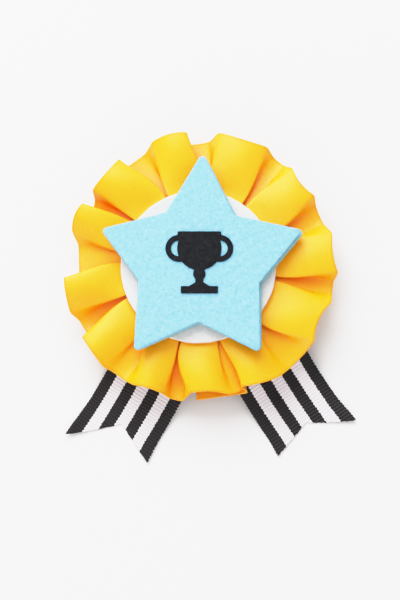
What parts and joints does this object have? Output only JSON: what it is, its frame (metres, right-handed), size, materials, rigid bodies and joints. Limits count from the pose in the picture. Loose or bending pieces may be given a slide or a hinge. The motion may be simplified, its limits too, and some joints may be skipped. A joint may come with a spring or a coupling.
{
  "type": "rosette award ribbon",
  "caption": "Award rosette: a gathered satin ruffle round a felt disc and star with a trophy cup, striped ribbon tails below, and a brooch pin with a turning catch on its felt back.",
  "frame": {"origin": "centre of the footprint on the surface that the rosette lies on, at that surface", "axes": "+Z out of the rosette's face, +Y from the tails towards the star's top point, +X to the viewer's right"},
  "size_m": [0.0881, 0.1005, 0.0185],
  "materials": {
    "black_felt": "flocked, matt",
    "blue_felt": "felt, matt",
    "white_felt": "felt, matt",
    "card": "plain card",
    "yellow_satin": "satin, glossy across the weave",
    "yellow_thread": "cotton thread",
    "striped_grosgrain": "ribbed, black with white stripes",
    "white_thread": "cotton thread",
    "plated_steel": "nickel plated"
  },
  "bodies": {
    "rosette": {"emblem": "black_felt", "star_upper_layer": "blue_felt", "star_lower_layer": "blue_felt", "front_disc": "white_felt", "stiffener_card": "card", "ruffle": "yellow_satin", "gathering_thread": "yellow_thread", "ruffle_seam_stitches": "yellow_thread", "tail_left_root": "striped_grosgrain", "tail_right_root": "striped_grosgrain", "backing_disc": "white_felt", "pin_bar": "plated_steel", "hinge_rivet": "plated_steel", "bar_stitches": "white_thread"},
    "stem": {"pin_stem": "plated_steel"},
    "sleeve": {"catch_sleeve": "plated_steel"},
    "left_tail": {"tail_left": "striped_grosgrain"},
    "right_tail": {"tail_right": "striped_grosgrain"}
  },
  "joints": [
    {"name": "pin_hinge", "type": "hinge", "parent": "rosette", "child": "stem", "pos_m": [-0.0157, 0.0154, 0.0023], "axis": [0, 1, 0], "range_deg": [0, 60]},
    {"name": "catch_turn", "type": "hinge", "parent": "rosette", "child": "sleeve", "pos_m": [0.0088, 0.0154, 0.0023], "axis": [1, 0, 0], "range_deg": [0, 90]},
    {"name": "tail_left_swing", "type": "hinge", "parent": "rosette", "child": "left_tail", "pos_m": [-0.01232, -0.01539, 0.00725], "axis": [0.8581, -0.5135, 0], "range_deg": [0, 60]},
    {"name": "tail_right_swing", "type": "hinge", "parent": "rosette", "child": "right_tail", "pos_m": [0.01342, -0.0147, 0.00775], "axis": [0.829, 0.5592, 0], "range_deg": [0, 60]}
  ]
}
